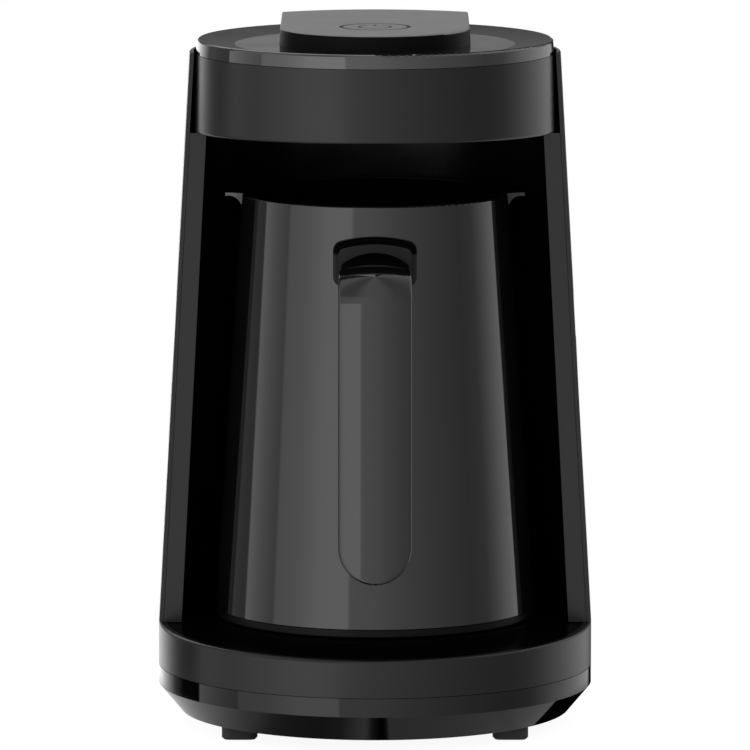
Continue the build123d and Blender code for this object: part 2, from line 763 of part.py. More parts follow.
# ---------------------------------------------------------------- cable in the column
with BuildPart() as wire_harness:
    with BuildLine() as cable_path:
        FilletPolyline(
            (cable_x, power_header_y, cable_low_z),
            (cable_x, cable_y(cable_low_z), cable_low_z),
            (cable_x, cable_y(cable_high_z), cable_high_z),
            (cable_x, control_header_y, cable_high_z),
            radius=cable_bend,
        )
    with BuildSketch(Plane(origin=cable_path.line @ 0, z_dir=cable_path.line % 0)):
        Circle(cable_r)
    sweep()

# ---------------------------------------------------------------- pot
ring_low_z = seat_z + fit_gap
floor_low_z = pot_floor_z - pot_wall


def beak(side, gap=0.0):
    """Pouring beak on one side: a thin lip, hollow below. With a gap, the channel inside its wall."""
    root_x = side * (pot_high_r - beak_root_depth)
    wall_x = side * (pot_high_r + pot_rim_fillet - gap)
    tip_x = side * (pot_high_r + beak_overhang)
    tip_z = pot_rim_z - beak_tip_depth + gap
    foot_z = pot_rim_z - beak_depth + gap
    bend = (side * (pot_high_r + beak_overhang / 3 - gap), tip_z - beak_tip_depth / 2)
    top_z = pot_rim_z + gap
    with BuildSketch(Plane.XZ) as profile:
        with BuildLine():
            Polyline((root_x, foot_z), (root_x, top_z), (tip_x, top_z), (tip_x, tip_z))
            ThreePointArc((tip_x, tip_z), bend, (wall_x, foot_z))
            Line((wall_x, foot_z), (root_x, foot_z))
        make_face()
    lip = extrude(profile.sketch, amount=beak_half_width, both=True, mode=Mode.PRIVATE)
    root_half = beak_half_width - gap
    tip_half = beak_tip_half_width - gap
    middle = ((root_x + tip_x) / 2, (root_half + tip_half) / 2 - beak_side_hollow)
    with BuildSketch(Plane.XY.offset(foot_z)) as plan:
        with BuildLine():
            Line((root_x, -root_half), (root_x, root_half))
            ThreePointArc((root_x, root_half), middle, (tip_x, tip_half))
            Line((tip_x, tip_half), (tip_x, -tip_half))
            ThreePointArc((tip_x, -tip_half), (middle[0], -middle[1]), (root_x, -root_half))
        make_face()
    return lip & extrude(plan.sketch, amount=beak_depth * 2, mode=Mode.PRIVATE)


with BuildPart() as pot_vessel:
    frustum(pot_radius, pot_low_z, pot_rim_z)
    fillet(pot_vessel.edges().group_by(Axis.Z)[0], radius=pot_edge_fillet)
    fillet(pot_vessel.edges().group_by(Axis.Z)[-1], radius=pot_rim_fillet)
    for side in (-1, 1):
        add(beak(side))
    # Inside of the bowl and its beaks
    with BuildPart(mode=Mode.PRIVATE) as bowl:
        frustum(pot_radius, pot_floor_z, pot_rim_z, grow=-pot_wall)
        fillet(bowl.edges().group_by(Axis.Z)[0], radius=pot_floor_fillet)
    add(bowl.part, mode=Mode.SUBTRACT)
    for side in (-1, 1):
        add(beak(side, gap=beak_wall), mode=Mode.SUBTRACT)
    # Room for the heater under the floor
    frustum(pot_radius, pot_low_z, floor_low_z, grow=-pot_wall - pot_edge_fillet / 2, mode=Mode.SUBTRACT)
    block((-socket_width / 2 - seam, socket_width / 2 + seam), (socket_front_y, socket_back_y),
          (pot_low_z, socket_z_range[1] + seam), mode=Mode.SUBTRACT)

ring_top_z = pot_low_z + pot_ring_lap
ring_inner_r = pot_low_r - pot_ring_wall
flange_top_z = ring_top_z + pot_ring_flange_height
cover_low_z = ring_top_z - pot_cover_thickness
pot_screw_angles = [a + pot_screw_angle for a in (0, 180 - 2 * pot_screw_angle, 180, -2 * pot_screw_angle)]
pot_screw_points = polar_points(ring_inner_r - pot_screw_inset, pot_screw_angles)
with BuildPart() as pot_base_ring:
    with Locations((0, 0, ring_low_z)):
        Cylinder(pot_low_r - pot_ring_inset, pot_ring_height, align=bottom_align)
        Cylinder(pot_low_r - pot_wall - pot_edge_fillet - fit_gap, ring_top_z - ring_low_z,
                 align=bottom_align)
        Cylinder(ring_inner_r, ring_top_z - ring_low_z, align=bottom_align, mode=Mode.SUBTRACT)
    chamfer(pot_base_ring.edges().group_by(Axis.Z)[0].sort_by(SortBy.LENGTH)[-1], length=pot_ring_chamfer)
    with BuildSketch(Plane.XY.offset(ring_top_z)):
        Circle(ring_inner_r + pot_ring_flange_lap)
        Circle(ring_inner_r - pot_ring_flange, mode=Mode.SUBTRACT)
    extrude(amount=pot_ring_flange_height)
    block((-socket_width / 2 - seam, socket_width / 2 + seam), (0, pot_low_r),
          (ring_top_z, flange_top_z), mode=Mode.SUBTRACT)
    upright(screw_r, ring_low_z, flange_top_z, pot_screw_points, mode=Mode.SUBTRACT)

with BuildPart() as pot_bottom_cover:
    with Locations((0, 0, cover_low_z)):
        Cylinder(ring_inner_r - fit_gap, pot_cover_thickness, align=bottom_align)
    upright(screw_r + snug_gap, ring_low_z, ring_top_z, pot_screw_points, mode=Mode.SUBTRACT)

with BuildPart() as pot_screws:
    upright(screw_head_r, cover_low_z - screw_head_height, cover_low_z, pot_screw_points)
    upright(screw_r, cover_low_z, flange_top_z, pot_screw_points)

heater_low_z = floor_low_z - heater_thickness
with BuildPart() as heater_plate:
    upright(pot_low_r - heater_margin, heater_low_z, floor_low_z, [(0, 0)])

with BuildPart() as heating_element:
    with Locations((0, 0, heater_low_z - element_r)):
        Torus(element_ring_r, element_r)

with BuildPart() as thermal_cutout:
    upright(cutout_r, heater_low_z - cutout_height, heater_low_z, [(0, 0)])

contact_y_range = (prong_tip_y - contact_gap - contact_length, prong_tip_y - contact_gap)
with BuildPart() as pot_socket:
    block((-socket_width / 2, socket_width / 2), (socket_front_y, socket_back_y), socket_z_range)
    for x in prong_xs:
        block(
            (x - prong_width / 2 - fit_gap, x + prong_width / 2 + fit_gap),
            (prong_tip_y - contact_gap, socket_back_y),
            (prong_z_range[0] - fit_gap, prong_z_range[1] + fit_gap),
            mode=Mode.SUBTRACT,
        )
    for x in prong_xs:
        block((x - prong_width, x + prong_width), contact_y_range, prong_z_range, mode=Mode.SUBTRACT)

with BuildPart() as socket_contacts:
    for x in prong_xs:
        block((x - prong_width, x + prong_width), contact_y_range, prong_z_range)

# ---------------------------------------------------------------- handle
arm_low_z = grip_top_z - arm_height
strap_z = grip_top_z - arm_height / 2 - bracket_drop
strap_tip_y = grip_front_y - bracket_cover
pad_z_range = (strap_z - pad_below, strap_z + pad_above)
arm_end_y = pot_radius(pad_z_range[0]) + bracket_pad + seam


def arch(half_width, low_z, top_z, sag, corner_r):
    """Front view of the collar: upright sides, arched top, rounded corners."""
    with BuildSketch(Plane.XZ) as outline:
        with BuildLine():
            Line((-half_width, low_z), (half_width, low_z))
            Line((half_width, low_z), (half_width, top_z - sag))
            ThreePointArc((half_width, top_z - sag), (0, top_z), (-half_width, top_z - sag))
            Line((-half_width, top_z - sag), (-half_width, low_z))
        make_face()
        fillet(outline.vertices(), radius=corner_r)
    return outline.sketch


def arm(drop=0.0, grow=0.0):
    """Arm between collar and grip with an arched top, which a drop lowers."""
    sections = []
    for y, rise, sag in (
        (arm_end_y - grow, arm_rise, arm_root_arch),
        (grip_back_y, 0.0, grip_arch),
    ):
        half = arm_half_width + grow
        top_z = grip_top_z + rise - drop + grow
        with BuildSketch(Plane.XZ.offset(y)) as section:
            with BuildLine():
                ThreePointArc((-half, top_z - sag), (0, top_z), (half, top_z - sag))
                Polyline((half, top_z - sag), (half, arm_low_z - grow), (-half, arm_low_z - grow),
                         (-half, top_z - sag))
            make_face()
        sections.append(section.sketch.face())
    return loft(sections, mode=Mode.PRIVATE)


handle_screw_point = [(0, handle_screw_inset - grip_back_y)]
screw_seat_z = arm_low_z + handle_screw_recess
screw_top_z = strap_z + bracket_thickness + handle_screw_end
grip_side_y = grip_side_depth - grip_front_y

# Hanging part of the grip: convex front that rolls back at the top, half-round lower end
with BuildPart() as grip_column:
    with BuildSketch(Plane.XY.offset(grip_low_z)):
        with BuildLine():
            ThreePointArc((-grip_half_width, grip_side_y), (0, -grip_front_y), (grip_half_width, grip_side_y))
            Polyline(
                (grip_half_width, grip_side_y),
                (grip_half_width, spare - grip_back_y),
                (-grip_half_width, spare - grip_back_y),
                (-grip_half_width, grip_side_y),
            )
        make_face()
    extrude(amount=grip_top_z - grip_low_z)
    with BuildSketch(Plane.XZ):
        with BuildLine():
            arc_z = grip_low_z + grip_half_width
            side_z = grip_top_z - grip_arch
            ThreePointArc((-grip_half_width, arc_z), (0, grip_low_z), (grip_half_width, arc_z))
            Line((grip_half_width, arc_z), (grip_half_width, side_z))
            ThreePointArc((grip_half_width, side_z), (0, grip_top_z), (-grip_half_width, side_z))
            Line((-grip_half_width, side_z), (-grip_half_width, arc_z))
        make_face()
    extrude(amount=grip_front_y, mode=Mode.INTERSECT)
    fillet(grip_column.edges().sort_by_distance((0, -grip_front_y, grip_top_z))[0], radius=shoulder_r)
    front_outline = grip_column.faces().sort_by(Axis.Y)[0].edges().sort_by(Axis.Z)[:-1]
    fillet(front_outline, radius=grip_edge_fillet)
    with BuildSketch(Plane.XY.offset(grip_low_z)) as back_corners:
        with Locations((0, -grip_back_y)):
            Rectangle(grip_half_width * 2, grip_thickness * 2, align=(Align.CENTER, Align.MAX))
        fillet(back_corners.vertices().group_by(Axis.Y)[-1], radius=grip_back_r)
    extrude(amount=grip_top_z - grip_low_z, mode=Mode.INTERSECT)

with BuildPart() as handle_grip:
    add(grip_column.part)
    add(arm(drop=cover_thickness + snug_gap))
    with BuildSketch(Plane.YZ):
        with BuildLine():
            under_arm = (finger_corner_r - grip_back_y, arm_low_z)
            on_grip = (-grip_back_y, arm_low_z - finger_corner_r)
            RadiusArc(under_arm, on_grip, -finger_corner_r)
            Polyline(on_grip, (-grip_back_y, arm_low_z), under_arm)
        make_face()
    extrude(amount=arm_half_width, both=True)
    # Slot for the steel bracket and a well for its screw
    block(
        (-bracket_width / 2 - bracket_play, bracket_width / 2 + bracket_play),
        (-strap_tip_y - bracket_play, -arm_end_y),
        (strap_z - bracket_play, strap_z + bracket_thickness + bracket_play),
        mode=Mode.SUBTRACT,
    )
    upright(screw_head_r + snug_gap, arm_low_z, screw_seat_z, handle_screw_point, mode=Mode.SUBTRACT)
    upright(screw_r, screw_seat_z, screw_top_z, handle_screw_point, mode=Mode.SUBTRACT)

with BuildPart() as arm_cover:
    add(arm())
    add(arm(drop=cover_thickness), mode=Mode.SUBTRACT)
    split(bisect_by=Plane.XZ.offset(grip_back_y - snug_gap), keep=Keep.BOTTOM)

with BuildPart() as handle_screw:
    upright(screw_head_r, screw_seat_z - screw_head_height, screw_seat_z, handle_screw_point)
    upright(screw_r, screw_seat_z, screw_top_z, handle_screw_point)

with BuildPart() as handle_bracket:
    frustum(pot_radius, *pad_z_range, grow=bracket_pad)
    block((-bracket_width / 2, bracket_width / 2), (-strap_tip_y, 0),
          (strap_z, strap_z + bracket_thickness))
    frustum(pot_radius, *pad_z_range, grow=weld_gap, mode=Mode.SUBTRACT)
    block((-bracket_width / 2, bracket_width / 2), (-grip_front_y, -pot_high_r / 2), pad_z_range,
          mode=Mode.INTERSECT)
    upright(screw_r, strap_z, strap_z + bracket_thickness, handle_screw_point, mode=Mode.SUBTRACT)

collar_half_width = grip_half_width + collar_side
collar_top_z = grip_top_z + collar_rise
collar_low_z = collar_top_z - collar_height
collar_front_y = pot_radius(collar_low_z) + collar_depth
sleeve_front_y = collar_front_y + sleeve_reach
with BuildPart() as handle_collar:
    extrude(
        arch(collar_half_width, collar_low_z, collar_top_z, collar_arch, collar_corner_r),
        amount=collar_front_y,
    )
    fillet(handle_collar.faces().sort_by(Axis.Y)[0].edges(), radius=collar_edge_fillet)
    extrude(
        arch(grip_half_width, arm_low_z - sleeve_floor, collar_top_z - sleeve_drop, sleeve_arch,
             sleeve_corner_r),
        amount=sleeve_front_y,
    )
    frustum(pot_radius, collar_low_z - spare, collar_top_z + spare, grow=weld_gap, mode=Mode.SUBTRACT)
    split(bisect_by=Plane.XZ, keep=Keep.TOP)
    # Pocket for the arm and its cover, and room for the welded bracket behind them
    add(arm(grow=snug_gap), mode=Mode.SUBTRACT)
    block(
        (-bracket_width / 2 - seam, bracket_width / 2 + seam),
        (-arm_end_y, 0),
        (pad_z_range[0] - seam, pad_z_range[1] + seam),
        mode=Mode.SUBTRACT,
    )

# ---------------------------------------------------------------- files
pieces = {
    "base_pan": base_pan,
    "base_trim_ring": base_trim_ring,
    "rubber_feet": rubber_feet,
    "base_housing": base_housing,
    "base_screws": base_screws,
    "tray_plate": tray_plate,
    "power_board": power_board,
    "power_parts": power_parts,
    "cord_gland": cord_gland,
    "rear_shell": rear_shell,
    "niche_wall": niche_wall,
    "shell_screws": shell_screws,
    "plug_prongs": plug_prongs,
    "plug_block": plug_block,
    "head_housing": head_housing,
    "head_underside": head_underside,
    "sensor_window": sensor_window,
    "foam_sensor": foam_sensor,
    "head_lid": head_lid,
    "top_disc": top_disc,
    "control_plate": control_plate,
    "control_board": control_board,
    "board_screws": board_screws,
    "switch_housing": switch_housing,
    "board_parts": board_parts,
    "button_cap": button_cap,
    "switch_plunger": switch_plunger,
    "button_pad": button_pad,
    "wire_harness": wire_harness,
    "pot_vessel": pot_vessel,
    "pot_base_ring": pot_base_ring,
    "pot_bottom_cover": pot_bottom_cover,
    "pot_screws": pot_screws,
    "heater_plate": heater_plate,
    "heating_element": heating_element,
    "thermal_cutout": thermal_cutout,
    "pot_socket": pot_socket,
    "socket_contacts": socket_contacts,
    "handle_grip": handle_grip,
    "arm_cover": arm_cover,
    "handle_screw": handle_screw,
    "handle_bracket": handle_bracket,
    "handle_collar": handle_collar,
}
os.makedirs("parts", exist_ok=True)
for name, piece in pieces.items():
    piece.part.label = name
    export_step(piece.part, f"parts/{name}.step")
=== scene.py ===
import json
import math

import bmesh
import bpy
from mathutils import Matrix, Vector


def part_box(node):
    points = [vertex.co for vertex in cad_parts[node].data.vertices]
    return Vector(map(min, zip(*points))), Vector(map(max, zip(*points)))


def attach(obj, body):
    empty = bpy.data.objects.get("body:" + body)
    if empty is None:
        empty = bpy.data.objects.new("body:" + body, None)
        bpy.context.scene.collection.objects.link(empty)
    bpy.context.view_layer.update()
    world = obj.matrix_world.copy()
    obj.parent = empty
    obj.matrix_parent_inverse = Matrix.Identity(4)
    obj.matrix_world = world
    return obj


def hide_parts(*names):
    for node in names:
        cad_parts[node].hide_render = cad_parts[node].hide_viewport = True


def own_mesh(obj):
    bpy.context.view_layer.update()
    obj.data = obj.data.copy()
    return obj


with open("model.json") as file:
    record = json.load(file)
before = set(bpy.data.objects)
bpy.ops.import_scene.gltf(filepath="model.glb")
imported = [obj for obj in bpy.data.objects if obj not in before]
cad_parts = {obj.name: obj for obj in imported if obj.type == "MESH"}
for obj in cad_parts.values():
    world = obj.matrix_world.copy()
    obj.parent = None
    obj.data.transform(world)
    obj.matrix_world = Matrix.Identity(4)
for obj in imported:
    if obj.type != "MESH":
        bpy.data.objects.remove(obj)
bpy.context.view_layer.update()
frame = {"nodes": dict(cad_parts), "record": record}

# ---------------------------------------------------------------- camera
CAMERA_DISTANCE = 2.992         # metres, from the point looked at
CAMERA_ELEVATION = 7.82         # degrees
CAMERA_TARGET = Vector((0, 0, 0.1286))
CAMERA_LENS = 389.6             # millimetres
CAMERA_SENSOR = 36              # millimetres
CAMERA_REACH = 50               # metres


def make_camera():
    """Long lens, straight in front of the object and a little above it."""
    data = bpy.data.cameras.new("camera")
    data.lens = CAMERA_LENS
    data.sensor_width = CAMERA_SENSOR
    data.clip_end = CAMERA_REACH
    camera = bpy.data.objects.new("camera", data)
    elevation = math.radians(CAMERA_ELEVATION)
    back = Vector((0, -math.cos(elevation), math.sin(elevation)))
    camera.location = CAMERA_TARGET + back * CAMERA_DISTANCE
    camera.rotation_mode = "QUATERNION"
    camera.rotation_quaternion = (-back).to_track_quat("-Z", "Y")
    bpy.context.scene.collection.objects.link(camera)
    bpy.context.scene.camera = camera


# ---------------------------------------------------------------- helpers
BRIGHTEST = 2.0                 # a brightness table holds at most this, a ramp at most 1
LINE_SOFT = 0.0001              # metres, the soft edge of a painted line


class Tree:
    """Short way to write a node tree: add makes a node, sets its inputs and links their sources."""

    def __init__(self, tree):
        self.tree = tree

    @classmethod
    def empty(cls, owner):
        """The cleared tree of a new world or material."""
        owner.use_nodes = True
        owner.node_tree.nodes.clear()
        return cls(owner.node_tree)

    def find(self, kind):
        return next(node for node in self.tree.nodes if node.bl_idname == kind)

    def add(self, kind, settings=None, **inputs):
        """New node; an input goes by its name, or by its place as i0, i1 and so on."""
        node = self.tree.nodes.new(kind)
        for name, value in (settings or {}).items():
            setattr(node, name, value)
        for name, value in inputs.items():
            self.set(node, name, value)
        return node

    def set(self, node, name, value):
        """Puts a value on an input, or links it to a socket or to a node's first output."""
        socket = node.inputs[int(name[1:])] if name[1:].isdigit() else node.inputs[name]
        if isinstance(value, bpy.types.Node):
            value = value.outputs[0]
        if isinstance(value, bpy.types.NodeSocket):
            self.tree.links.new(value, socket)
        else:
            socket.default_value = value

    def calc(self, operation, first, second=0.0, third=0.0):
        return self.add("ShaderNodeMath", {"operation": operation}, i0=first, i1=second, i2=third)

    def blend(self, share, first, second):
        """The first number where share is 0 and the second where it is 1."""
        kept = self.calc("MULTIPLY", first, self.calc("SUBTRACT", 1.0, share))
        return self.calc("MULTIPLY_ADD", share, second, kept)

    def mix(self, share, first, second):
        """The first colour where share is 0 and the second where it is 1."""
        node = self.add("ShaderNodeMix", {"data_type": "RGBA"}, i0=share, i6=first, i7=second)
        return node.outputs[2]

    def rise(self, value, low, high, at_low=0.0, at_high=1.0):
        """Smooth step from at_low to at_high while value goes from low to high."""
        settings = {"interpolation_type": "SMOOTHSTEP"}
        return self.add("ShaderNodeMapRange", settings, i0=value, i1=low, i2=high, i3=at_low, i4=at_high)

    def fall(self, value, low, high):
        """Smooth step from 1 to 0 while value goes from low to high."""
        return self.rise(value, low, high, 1.0, 0.0)

    def within(self, value, half):
        """1 where value is nearer to zero than half, with a soft edge."""
        return self.fall(self.calc("ABSOLUTE", value), half, half + LINE_SOFT)

    def ramp(self, value, span, table):
        """Brightness from a table of (value, brightness), for values from -span to span."""
        node = self.add("ShaderNodeValToRGB", i0=self.calc("MULTIPLY_ADD", value, 0.5 / span, 0.5))
        elements = node.color_ramp.elements
        while len(elements) < len(table):
            elements.new(0.5)
        for element, (place, brightness) in zip(elements, table):
            grey = brightness / BRIGHTEST
            element.position = place * 0.5 / span + 0.5
            element.color = (grey, grey, grey, 1)
        return self.calc("MULTIPLY", node, BRIGHTEST)

    def place(self):
        """Place on the object, in metres."""
        return self.add("ShaderNodeTexCoord").outputs["Object"]

    def axes(self, vector):
        """The x, y and z of a vector."""
        return self.add("ShaderNodeSeparateXYZ", i0=vector).outputs

    def length(self, vector):
        return self.add("ShaderNodeVectorMath", {"operation": "LENGTH"}, i0=vector).outputs["Value"]

    def noise(self, scale, detail, roughness):
        inputs = {"Scale": scale, "Detail": detail, "Roughness": roughness}
        return self.add("ShaderNodeTexNoise", Vector=self.place(), **inputs).outputs[0]

    def paint(self, share, color):
        """Gives the finished material this colour where share is 1."""
        shader = self.find("ShaderNodeBsdfPrincipled")
        before = shader.inputs["Base Color"].links[0].from_socket
        self.set(shader, "Base Color", self.mix(share, before, (*color, 1)))


def add_object(name, bm, material):
    """Makes a bmesh an object of the scene, with one material."""
    mesh = bpy.data.meshes.new(name)
    bm.to_mesh(mesh)
    bm.free()
    mesh.materials.append(material)
    piece = bpy.data.objects.new(name, mesh)
    bpy.context.scene.collection.objects.link(piece)
    return piece


# ---------------------------------------------------------------- studio
# Tables of brightness by azimuth in degrees: 0 is the camera's side and positive is the object's
# +X side. Pairs of heights, of the direction vector, say where something begins and is full.
HALF_TURN = 180
STUDIO_WALL = [
    (-180, 1.5), (-158, 1.9), (-146, 1.1), (-134, 0.2), (-124, 0.01), (-107.8, 0.0),
    (-107.4, 0.95), (-90, 0.65), (-77.7, 0.5), (-77.3, 0.72), (-19.4, 0.9), (-19.0, 0.9),
    (0, 0.83), (20, 0.62), (50, 0.42), (75, 0.28), (90, 0.33), (110, 0.75), (125, 0.88),
    (142, 0.86), (156, 0.72), (163, 0.0), (172, 0.05), (180, 1.3),
]
SOFT_BOX = [                    # on the left, with sharp sides, brighter than the wall by this much
    (-180, 0.0), (-77.7, 0.0), (-77.3, 0.14), (-60, 0.24), (-42, 0.6), (-19.4, 0.6),
    (-19.0, 0.0), (180, 0.0),
]
SOFT_BOX_FOOT = (-0.6, -0.55)
SOFT_BOX_TOP = (0.06, 0.11)     # here it ends, from full to nothing
GREY_PANEL = [                  # above the dark sector on the left, brighter than the wall by this much
    (-180, 0.0), (-134, 0.0), (-126, 0.2), (-107.8, 0.2), (-107.4, 0.0), (180, 0.0),
]
GREY_PANEL_FOOT = (-0.14, -0.12)
BACKDROP_AZIMUTH = (135, 155)   # dark backdrop behind the object: where it begins and is full
BACKDROP_FOOT = (0.05, 0.085)
BACKDROP_STEP = (0.0935, 0.0965)    # it is darker below this height and paler above
BACKDROP_DARK = 0.055
BACKDROP_PALE = 0.2
CEILING = [                     # with dark gaps on the left and behind
    (-180, 1.4), (-134, 1.4), (-126, 0.08), (-106, 0.08), (-98, 0.75), (-75, 0.75), (-55, 0.45),
    (-35, 0.45), (-15, 0.8), (12, 0.75), (35, 0.45), (55, 0.42), (90, 0.6), (130, 0.8),
    (148, 0.8), (153, 0.05), (176, 0.05), (180, 1.4),
]
CEILING_FOOT = (0.3, 0.5)


def studio_brightness(t, azimuth, height):
    """Walls with their panels, then the backdrop behind, then the ceiling over all."""
    wall = t.ramp(azimuth, HALF_TURN, STUDIO_WALL)
    box_share = t.calc("MULTIPLY", t.rise(height, *SOFT_BOX_FOOT), t.fall(height, *SOFT_BOX_TOP))
    wall = t.calc("MULTIPLY_ADD", t.ramp(azimuth, HALF_TURN, SOFT_BOX), box_share, wall)
    panel_share = t.rise(height, *GREY_PANEL_FOOT)
    wall = t.calc("MULTIPLY_ADD", t.ramp(azimuth, HALF_TURN, GREY_PANEL), panel_share, wall)
    behind = t.rise(t.calc("ABSOLUTE", azimuth), *BACKDROP_AZIMUTH)
    backdrop_share = t.calc("MULTIPLY", behind, t.rise(height, *BACKDROP_FOOT))
    backdrop = t.rise(height, *BACKDROP_STEP, BACKDROP_DARK, BACKDROP_PALE)
    wall = t.blend(backdrop_share, wall, backdrop)
    return t.blend(t.rise(height, *CEILING_FOOT), wall, t.ramp(azimuth, HALF_TURN, CEILING))


def make_studio():
    """World: white behind the object, and a soft studio in reflections and as light."""
    world = bpy.data.worlds.new("studio")
    bpy.context.scene.world = world
    t = Tree.empty(world)
    x, y, z = t.axes(t.add("ShaderNodeTexCoord").outputs["Generated"])
    azimuth = t.calc("DEGREES", t.calc("ARCTAN2", x, t.calc("MULTIPLY", y, -1.0)))
    path = t.add("ShaderNodeLightPath")
    straight = t.calc("MAXIMUM", path.outputs["Is Camera Ray"], path.outputs["Is Transmission Ray"])
    seen = t.mix(straight, studio_brightness(t, azimuth, z), (1, 1, 1, 1))
    background = t.add("ShaderNodeBackground", Color=seen, Strength=1.0)
    t.add("ShaderNodeOutputWorld", Surface=background)


# ---------------------------------------------------------------- floor
FLOOR_RADIUS = 0.15
FLOOR_FADE = 0.05               # width of the floor's soft edge
FLOOR_SEGMENTS = 96
FLOOR_GREY = 0.3
FLOOR_WHITE = 0.93              # what the camera sees of the floor besides its shading
MIRRORED_FLOOR = [              # x across the object in metres, brightness in reflections, painted light and painted shade that the base mirrors
    (-0.080, 0.75), (-0.0745, 0.62), (-0.066, 0.52), (-0.0594, 0.4), (-0.0506, 0.3), (-0.043, 0.15),
    (-0.036, 0.1), (-0.022, 0.085), (-0.014, 0.13), (-0.004, 0.45), (-0.0015, 0.1), (0.0018, 0.0),
    (0.0045, 0.01), (0.0058, 0.37), (0.049, 0.4), (0.054, 0.35), (0.0585, 0.4), (0.08, 0.4),
]
DARK_START_X = (0.05, 0.055)    # to the right of this the mirrored floor is black, painted shade in reflections
DARK_SLANT = 1.41               # up to a slanting line, where x - DARK_SLANT * y reaches DARK_END
DARK_END = (0.1126, 0.1142)


def mirrored_floor(t, x, y):
    """Brightness that the floor shows in reflections: painted light and painted shade."""
    pattern = t.ramp(x, FLOOR_RADIUS, MIRRORED_FLOOR)
    beyond = t.rise(t.calc("MULTIPLY_ADD", y, -DARK_SLANT, x), *DARK_END)
    return t.calc("MULTIPLY", pattern, t.calc("MAXIMUM", beyond, t.fall(x, *DARK_START_X)))


def floor_surface():
    """Pale floor for the camera, with its shading, and in reflections only the mirrored pattern of
    painted light and painted shade.
    """
    material = bpy.data.materials.new("pale_floor")
    t = Tree.empty(material)
    place = t.place()
    x, y = t.axes(place)[:2]
    path = t.add("ShaderNodeLightPath")
    reflected = t.calc("MAXIMUM", path.outputs["Is Glossy Ray"], path.outputs["Is Transmission Ray"])
    seen = t.calc("MULTIPLY", path.outputs["Is Camera Ray"], FLOOR_WHITE)
    strength = t.calc("MULTIPLY_ADD", reflected, mirrored_floor(t, x, y), seen)
    shaded = t.mix(reflected, (FLOOR_GREY, FLOOR_GREY, FLOOR_GREY, 1), (0, 0, 0, 1))
    diffuse = t.add("ShaderNodeBsdfDiffuse", Color=shaded)
    fill = t.add("ShaderNodeEmission", Color=(1, 1, 1, 1), Strength=strength)
    lit = t.add("ShaderNodeAddShader", i0=diffuse, i1=fill)
    edge = t.rise(t.length(place), FLOOR_RADIUS - FLOOR_FADE, FLOOR_RADIUS)
    clear = t.add("ShaderNodeBsdfTransparent")
    faded = t.add("ShaderNodeMixShader", i0=edge, i1=lit, i2=clear)
    t.add("ShaderNodeOutputMaterial", Surface=faded)
    return material


def make_floor():
    """Small round floor that fades into the white background and keeps the contact shadow."""
    bm = bmesh.new()
    bmesh.ops.create_circle(bm, cap_ends=True, segments=FLOOR_SEGMENTS, radius=FLOOR_RADIUS)
    add_object("floor", bm, floor_surface())


# ---------------------------------------------------------------- finishes
# Bumps: scale of the noise, strength, and depth in metres
FINE = (2600, 0.05, 0.0002)
CAST = (900, 0.3, 0.0003)
MATT = (1500, 0.2, 0.0003)
PLATED = (3500, 0.1, 0.0001)
GRAIN_DETAIL = 3.0
GRAIN_ROUGHNESS = 0.6

# Mottling of the colour: share that it varies by either way, and scale of the noise
SLIGHT = (0.15, 400.0)
DENSE = (0.1, 900.0)
MOTTLE_DETAIL = 4.0
MOTTLE_ROUGHNESS = 0.6

# Slow change of the roughness, between the two ends that a finish gives
SLOW_SCALE = 60.0
SLOW_DETAIL = 4.0
SLOW_ROUGHNESS = 0.55
SLOW_RANGE = (0.3, 0.7)         # part of the noise that the ends stand for

DEEP_BLACK = (0.001, 0.001, 0.0011)
LINING_BLACK = (0.003, 0.003, 0.0032)
METAL_BLACK = (0.004, 0.004, 0.0042)
PLATE_GREY = (0.288, 0.288, 0.291)

FINISHES = {                    # colour, ends of the roughness, and what else surface takes
    "satin_black": (METAL_BLACK, (0.28, 0.32), {"bump": FINE}),
    "gloss_black": ((0.002, 0.002, 0.0022), (0.03, 0.05), {}),
    "lining_black": (LINING_BLACK, (0.22, 0.28), {"ior": 1.4}),
    "niche_black": (LINING_BLACK, (0.22, 0.28), {"ior": 1.44}),
    "ring_black": (LINING_BLACK, (0.35, 0.4), {"ior": 1.265}),
    "tray_black": ((0.0015, 0.0015, 0.0016), (0.2, 0.26), {"ior": 1.07}),
    "collar_black": (DEEP_BLACK, (0.1, 0.14), {"ior": 1.08}),
    "cover_black": (DEEP_BLACK, (0.3, 0.36), {"ior": 1.05}),
    "gloss_grey": ((0.008, 0.008, 0.0082), (0.03, 0.05), {"ior": 1.93}),
    "disc_grey": ((0.01, 0.01, 0.0102), (0.1, 0.12), {"ior": 1.83}),
    "pot_metal": (METAL_BLACK, (0.06, 0.09), {"ior": 1.7}),
    "plate_grey": (PLATE_GREY, (0.4, 0.46), {"ior": 1.16, "bump": FINE}),
    "button_grey": (PLATE_GREY, (0.4, 0.46), {"ior": 1.16, "bump": FINE}),
    "rubber": ((0.045, 0.045, 0.046), (0.55, 0.65), {"bump": MATT}),
    "steel": ((0.6, 0.6, 0.6), (0.25, 0.35), {"metallic": 1.0, "bump": PLATED}),
    "aluminium": ((0.72, 0.72, 0.73), (0.3, 0.4), {"metallic": 1.0, "bump": CAST}),
    "brass": ((0.78, 0.62, 0.3), (0.2, 0.3), {"metallic": 1.0, "mottle": DENSE}),
    "board": ((0.02, 0.12, 0.05), (0.3, 0.4), {}),
    "inner_plastic": ((0.05, 0.05, 0.05), (0.45, 0.55), {"bump": FINE}),
    "window": ((0.01, 0.004, 0.004), (0.02, 0.03), {}),
    "silicone": ((0.5, 0.5, 0.5), (0.5, 0.6), {"bump": FINE}),
}
OWN_FINISHES = {                # nodes whose finish differs a little from their slot's
    "pot_base_ring": "ring_black",
    "tray_plate": "tray_black",
    "niche_wall": "niche_black",
    "top_disc": "disc_grey",
    "button_cap": "button_grey",
    "handle_collar": "collar_black",
    "arm_cover": "cover_black",
}


